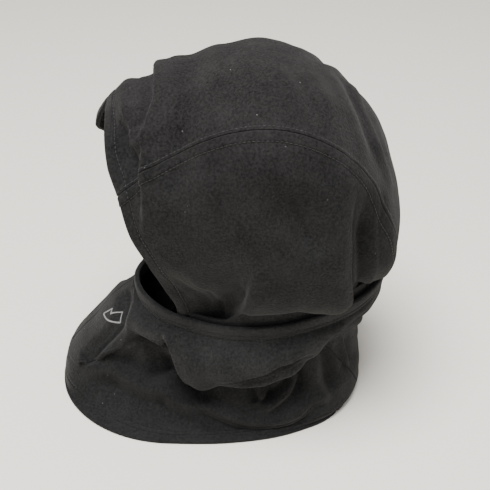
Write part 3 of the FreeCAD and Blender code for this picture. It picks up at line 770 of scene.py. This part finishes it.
def hood_points(which):
    """One panel's points, with the hem's turn and the lapped seam pressed into it."""
    u, t = hood_grid(which)
    p = hood_form(u, t)
    n = normals(p)
    front = np.linalg.norm(np.diff(p, axis=0), axis=-1)
    front = np.concatenate([np.zeros((1, p.shape[1])), np.cumsum(front, axis=0)])
    press = 0.7 * (1 - smooth(front, FACE_HEM - 0.6, FACE_HEM + 0.8)) - 0.9 * np.exp(-((front - FACE_HEM) / 0.8)**2)
    across = np.linalg.norm(np.diff(p, axis=1), axis=-1)
    across = np.concatenate([np.zeros((p.shape[0], 1)), np.cumsum(across, axis=1)], 1)
    if which != "crown":
        lap = 0.9 * (1 - smooth(across, SEAM_ALLOWANCE - 0.5, SEAM_ALLOWANCE + 1.2))
        press = press + lap - 0.8 * np.exp(-((across - SEAM_ALLOWANCE) / 0.9)**2)
    else:
        other = across[:, -1:] - across
        press = press + 0.6 * np.exp(-(across / 2.2)**2) + 0.6 * np.exp(-(other / 2.2)**2)
    return p + n * press[..., None], n


panels = {}
for which, node_name, flat, area in (
        ("crown", "hood_crown_panel", (0.34, 0.24), 0.075), ("left", "hood_left_panel", (0.30, 0.20), 0.046),
        ("right", "hood_right_panel", (0.30, 0.20), 0.046)):
    points, up = hood_points(which)
    panels[which] = (points, up)
    piece = layer(node_name.replace("panel", "cloth"), points, THICK)
    dress(piece, "hood", "hood_fleece", hood_cloth, node_name)


def row_on(which, from_edge=None, from_front=None):
    """The line of a panel's surface at a distance from its seam edge or from its front edge, and its normals."""
    p, n = panels[which]
    if from_front is not None:
        run = np.linalg.norm(np.diff(p, axis=0), axis=-1)
        run = np.concatenate([np.zeros((1, p.shape[1])), np.cumsum(run, axis=0)])
        i = np.clip((run < from_front).sum(0), 1, p.shape[0] - 1)
        j = np.arange(p.shape[1])
        f = ((from_front - run[i - 1, j]) / (run[i, j] - run[i - 1, j]))[:, None]
        return p[i - 1, j] * (1 - f) + p[i, j] * f, n[i, j]
    run = np.linalg.norm(np.diff(p, axis=1), axis=-1)
    run = np.concatenate([np.zeros((p.shape[0], 1)), np.cumsum(run, axis=1)], 1)
    if from_edge < 0:
        run = run[:, -1:] - run
        p, n, run, from_edge = p[:, ::-1], n[:, ::-1], run[:, ::-1], -from_edge
    j = np.clip((run < from_edge).sum(1), 1, p.shape[1] - 1)
    i = np.arange(p.shape[0])
    f = ((from_edge - run[i, j - 1]) / (run[i, j] - run[i, j - 1]))[:, None]
    return p[i, j - 1] * (1 - f) + p[i, j] * f, n[i, j]


for side, crown_edge in (("left", 1.6), ("right", -1.6)):
    rows = [stitches("row", *row_on("crown", from_edge=crown_edge)),
            stitches("row", *row_on(side, from_edge=SEAM_ALLOWANCE))]
    dress(joined(f"crown_topstitching_{side}", rows), "hood", "thread", thread, f"crown_stitching_{side}")
    p, n = row_on(side, from_edge=0.0)
    q, m = row_on("crown", from_edge=math.copysign(0.01, crown_edge))
    middle = (p + q) / 2
    across = (q - p) / np.maximum(np.linalg.norm(q - p, axis=1, keepdims=True), 1e-9)
    strip = np.stack([middle + across * x - (n + m) / 2 * 1.7 for x in np.linspace(-4.5, 4.5, 7)], 1)
    dress(layer(f"crown_seam_tape_{side}", strip, 0.9), "hood", "seam_fleece", seam_cloth, f"crown_seam_{side}")

rows = [stitches("row", *row_on(which, from_front=FACE_HEM)) for which in ("left", "crown", "right")]
dress(joined("face_hem_topstitching", rows), "hood", "thread", thread, "face_hem_stitching")

# The hem's turned-under layer, inside the front edge.
front = []
for which in ("left", "crown", "right"):
    p, n = panels[which]
    count = 13
    inside = p[:count] - n[:count] * (THICK - 0.4)
    front.append(layer(f"turn_{which}", inside, 1.9))
dress(joined("face_hem_turned_under", front), "hood", "hem_fleece", hem_cloth, "face_opening_hem")

# The neck band inside the rim, with the seam that gathers the hood's slack onto it.
angles = np.linspace(FACE_LEG + 12, 360 - FACE_LEG - 12, 200)
arches = (np.minimum(angles, 360 - angles) - FACE_LEG) / (NAPE_LEG - FACE_LEG)
tops = -1.0 - 15.0 * blouse(np.clip(arches, 0, 1)) * (1 - 0.5 * smooth(arches, 0.55, 0.75))
band = np.stack([rim(angles, -6.0 - 1.2 * share, tops + (14.0 - tops) * share) for share in np.linspace(0, 1, 26)], 1)
band = band + normals(band) * (undulation(band, 5.0, 0.5) * 0.6)[..., None]
dress(layer("hood_neck_band_cloth", band, 2.2), "hood", "hem_fleece", hem_cloth, "hood_neck_band")
seam = np.stack([rim(angles, -8.6, tops + h) for h in np.linspace(0.5, 4.0, 4)], 1)
dress(layer("hood_neck_band_overlock", seam, 1.2), "hood", "seam_fleece", seam_cloth, "hood_neck_band_seam")

# ---- the neck tube ------------------------------------------------------------------------------------------

turn = np.linspace(0, 360, 361)
RIM_THICK = 4.2
TAPE_INSET, TAPE_THICK = 1.9, 0.8
RIM_ROWS = (RIM_HEM - 4.0, RIM_HEM - 0.2)
profile = [(-RIM_THICK, RIM_HEM)] + [(-RIM_THICK, d) for d in (10.0, 8.0, 6.0, 4.0, 2.6)]
profile += [(RIM_THICK / 2 * (math.cos(a) - 1), 2.1 - 2.1 * math.sin(a)) for a in np.linspace(math.pi, 0, 11)]
profile += [(0.25, d) for d in (3.2, 4.4, 5.6, 6.6)]
for row in RIM_ROWS:
    profile += [(0.1, row - 0.8), (-0.75, row), (0.2, row + 0.8)]
profile += [(-0.5, RIM_HEM + 1.2)]
tilt = nape_tilt(turn)
hem = np.stack([rim(turn, out - tilt * down, down) for out, down in profile], 1)
sway = (0.5 * np.sin(np.radians(turn * 3 + 40)) + 0.35 * np.sin(np.radians(turn * 7 + 10))
        + 0.2 * np.sin(np.radians(turn * 13)))
hem[..., 2] += sway[:, None]
outer = layer("mask_rim_hem_cloth", hem, 0.9, closed=True)
dress(outer, "neck_tube", "hem_fleece", hem_cloth, "mask_rim_hem")

rim_rows = []
for down in RIM_ROWS:
    line = rim(turn, -0.25 - tilt * down, down)
    line[..., 2] += sway
    up = rim(turn, 1.0, 0.0) - rim(turn, 0.0, 0.0)
    rim_rows.append(stitches("row", line, up))
dress(joined("mask_rim_topstitching", rim_rows), "neck_tube", "thread", thread, "mask_rim_stitching")


def tube_half(name, sign, form, v, count=230):
    """The left or right half of the mask."""
    degrees = sign * np.linspace(0.4, 179.6, count)[:, None]
    p = form(degrees, v[None])
    hold = 1 - smooth(v, 0.0, 0.5)
    p[..., 2] += np.interp(degrees % 360, turn, sway) * hold[None]
    return layer(name, p, THICK)


down = np.linspace(0, 1, 90)
for name, sign in (("left", 1), ("right", -1)):
    piece = tube_half(f"mask_{name}_cloth", sign, mask_form, down)
    dress(piece, "neck_tube", "tube_fleece", tube_cloth, f"mask_{name}_panel")

for node_name, middle in (("mask_front_seam", 0.0), ("mask_back_seam", 180.0)):
    degrees = middle + np.linspace(-1.6, 1.6, 5)[:, None]
    strip = mask_form(degrees, np.linspace(0.02, 0.97, 40)[None])
    strip = strip - normals(strip) * TAPE_INSET
    dress(layer(node_name + "_tape", strip, TAPE_THICK), "neck_tube", "seam_fleece", seam_cloth, node_name)

seam = mask_form(turn[:, None], np.linspace(0.965, 1.0, 4)[None])
seam = seam - normals(seam) * 2.0
dress(layer("neck_seam_overlock", seam, 1.6, closed=True), "neck_tube", "seam_fleece", seam_cloth, "neck_seam")


# ---- the bib ------------------------------------------------------------------------------------------------

def bib_seam_angle(v):
    return 117.0 + 50.0 * v


def bib_hem_share(degrees):
    """Where the bottom hem starts, so that it is the same width all round."""
    v = np.linspace(0.5, 1, 40)
    line = bib_base(degrees[:, None], v[None])
    run = np.linalg.norm(np.diff(line, axis=1), axis=-1)
    left = np.concatenate([np.cumsum(run[:, ::-1], axis=1)[:, ::-1], np.zeros((len(degrees), 1))], 1)
    return np.array([np.interp(-BIB_HEM, -row, v) for row in left])


def bib_panel(name, start, stop, count):
    """A bib panel between two seam angles, each a function of v."""
    v = np.linspace(0.0, 1.0, 80)[None]
    share = np.linspace(0, 1, count)[:, None]
    degrees = start(v) + (stop(v) - start(v)) * share
    foot = bib_hem_share(degrees[:, -1])[:, None] + 0.01
    return layer(name, bib_form(degrees, v * foot), THICK)


def left_seam(v):
    return bib_seam_angle(v) - 0.5


front_bib = bib_panel("bib_front_cloth", lambda v: -left_seam(v), left_seam, 330)
dress(front_bib, "neck_tube", "tube_fleece", tube_cloth, "bib_front_panel")
yoke = bib_panel("bib_back_yoke_cloth", lambda v: bib_seam_angle(v) + 0.5, lambda v: 359.5 - bib_seam_angle(v), 110)
dress(yoke, "neck_tube", "tube_fleece", tube_cloth, "bib_back_yoke")
for name, sign in (("left", 1), ("right", -1)):
    v = np.linspace(0.02, 0.84, 60)[None]
    degrees = sign * (bib_seam_angle(v) + np.linspace(-2.6, 2.6, 5)[:, None])
    strip = bib_form(degrees, v)
    strip = strip - normals(strip) * TAPE_INSET
    dress(layer(f"bib_seam_tape_{name}", strip, TAPE_THICK), "neck_tube", "seam_fleece", seam_cloth,
          f"bib_seam_{name}")

HEM_ROW, HEM_THICK = 0.2, 2.8  # its stitches' share down the hem, and the hem's thickness in mm
hem_v = bib_hem_share(turn)[:, None]
share = np.concatenate([np.linspace(-0.03, 0.2, 10), np.linspace(0.24, 1.0, 22)])[None]
hem = bib_form(turn[:, None], hem_v + (1 - hem_v) * share)
lift = normals(hem)
press = 0.2 - 0.7 * np.exp(-((share - HEM_ROW) / 0.05)**2)
hem = hem + lift * press[..., None]
hem[..., 2] = np.maximum(hem[..., 2], HEM_THICK * 0.5 + 0.2 * (1 - share))
bottom = layer("bib_bottom_hem_cloth", hem, HEM_THICK, closed=True)
# The hem settles: every part of it reaches the floor, and none goes through.
spots = np.empty(len(bottom.data.vertices) * 3)
bottom.data.vertices.foreach_get("co", spots)
spots = spots.reshape(len(turn) - 1, -1, 3)
z = spots[..., 2]
spots[..., 2] = np.maximum(z - z.min(1, keepdims=True) * (1 - smooth(z, 0.0, 0.012)), 0.0)
bottom.data.vertices.foreach_set("co", spots.ravel())
dress(bottom, "neck_tube", "hem_fleece", hem_cloth, "bib_bottom_hem")
at = int(np.argmin(np.abs(share[0] - HEM_ROW)))
dress(stitches("bib_hem_topstitching", hem[:, at], lift[:, at]), "neck_tube", "thread", thread, "bib_hem_stitching")

# ---- inside -------------------------------------------------------------------------------------------------

GUSSET_SPREAD, GUSSET_INSET, GUSSET_THICK = 30.0, 4.6, 1.5
LABEL_SPREAD, LABEL_INSET, LABEL_THICK = 9.0, 3.4, 0.5

degrees = np.linspace(180.0 - GUSSET_SPREAD, 180.0 + GUSSET_SPREAD, 60)[:, None]
above = rim(degrees + np.zeros((1, 4)), -6.0, np.linspace(-6.0, 0.0, 4)[None] + 0 * degrees)
below = mask_form(degrees, np.linspace(0.0, 0.6, 18)[None])
below = below - normals(below) * GUSSET_INSET
gusset = np.concatenate([above, below], 1)
piece = layer("nape_gusset_cloth", gusset, GUSSET_THICK)
dress(piece, None, "tube_fleece", tube_cloth, "nape_gusset")
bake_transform(piece)

label = bib_form(180 + LABEL_SPREAD * np.linspace(-1, 1, 14)[:, None], np.linspace(0.02, 0.26, 12)[None])
label = label - normals(label) * LABEL_INSET
dress(layer("care_label_blank", label, LABEL_THICK), "neck_tube", "label_satin", satin, "care_label")

# ---- the print ----------------------------------------------------------------------------------------------

# Two peaks over a base line, as (mm across, mm down) from the middle of the print.
PEAKS = [(-10.5, 5.5), (-4.5, -5.0), (-1.2, -0.5), (4.0, -8.5), (11.0, 5.5), (-10.5, 5.5)]
PRINT_AT, PRINT_LINE = (12.5, 0.43), 0.5
here = mask_base(*PRINT_AT)
per_degree = np.linalg.norm(mask_base(PRINT_AT[0] + 1.0, PRINT_AT[1]) - here)
per_share = np.linalg.norm(mask_base(PRINT_AT[0], PRINT_AT[1] + 0.01) - here) * 100
corners = np.array(PEAKS) / (per_degree, per_share) + PRINT_AT
films = []
for first, last in zip(corners, corners[1:]):
    path = np.linspace(first, last, 12)
    line = mask_form(path[:, :1], path[:, 1:])[:, 0]
    up = surface_normals(mask_base, path[:, 0], path[:, 1], 0.4, 0.004)
    up = up * np.where(up[:, 1:2] > 0, -1.0, 1.0)
    way = np.gradient(line, axis=0)
    beside = np.cross(up, way)
    beside /= np.linalg.norm(beside, axis=1, keepdims=True)
    film = np.stack([line + beside * x + up * 0.25 for x in (-PRINT_LINE, -0.15, 0.15, PRINT_LINE)], 1)
    films.append(layer("film", film, 0.5))
dress(joined("chest_print_peaks", films), "neck_tube", "print_ink", ink, "chest_print")

# ---- stage, light and camera --------------------------------------------------------------------------------

def plain(name, colour, roughness):
    material = bpy.data.materials.new(name)
    material.use_nodes = True
    shader = material.node_tree.nodes["Principled BSDF"]
    shader.inputs["Base Color"].default_value = (*colour, 1)
    shader.inputs["Roughness"].default_value = roughness
    return material


bpy.ops.mesh.primitive_plane_add(size=12.0, location=(0, 0, 0))
floor = bpy.context.object
floor.name = "floor"
floor.data.materials.append(plain("floor", (0.96, 0.915, 0.835), 0.7))

world = bpy.data.worlds.new("studio")
bpy.context.scene.world = world
world.use_nodes = True
world.node_tree.nodes["Background"].inputs["Color"].default_value = (1.0, 0.992, 0.98, 1)
world.node_tree.nodes["Background"].inputs["Strength"].default_value = 0.5


def area_light(name, place, size, power, colour):
    lamp = bpy.data.lights.new(name, "AREA")
    lamp.shape, lamp.size, lamp.energy, lamp.color = "DISK", size, power, colour
    made = bpy.data.objects.new(name, lamp)
    bpy.context.scene.collection.objects.link(made)
    made.location = place
    made.rotation_euler = (Vector((0, 0, 0.15)) - Vector(place)).to_track_quat("-Z", "Y").to_euler()


area_light("key", (0.45, -0.2, 2.0), 1.2, 80.0, (1.0, 0.995, 0.985))
area_light("fill", (1.5, -0.3, 0.9), 0.9, 4.0, (0.97, 0.985, 1.0))

AZIMUTH, ELEVATION, DISTANCE, LENS = math.radians(92.0), math.radians(33.0), 0.750, 66.1
low, high = (np.array(corner) for corner in cad_box)
target = Vector(((low[0] + high[0]) / 2, (low[1] + high[1]) / 2 + 0.0205, low[2] + 0.133))
looking = Vector((-math.sin(AZIMUTH) * math.cos(ELEVATION), math.cos(AZIMUTH) * math.cos(ELEVATION),
                  -math.sin(ELEVATION)))
camera = bpy.data.objects.new("camera", bpy.data.cameras.new("camera"))
camera.data.lens = LENS
camera.data.clip_start = 0.01
camera.location = target - looking * DISTANCE
camera.rotation_euler = looking.to_track_quat("-Z", "Y").to_euler()
bpy.context.scene.collection.objects.link(camera)
bpy.context.scene.camera = camera
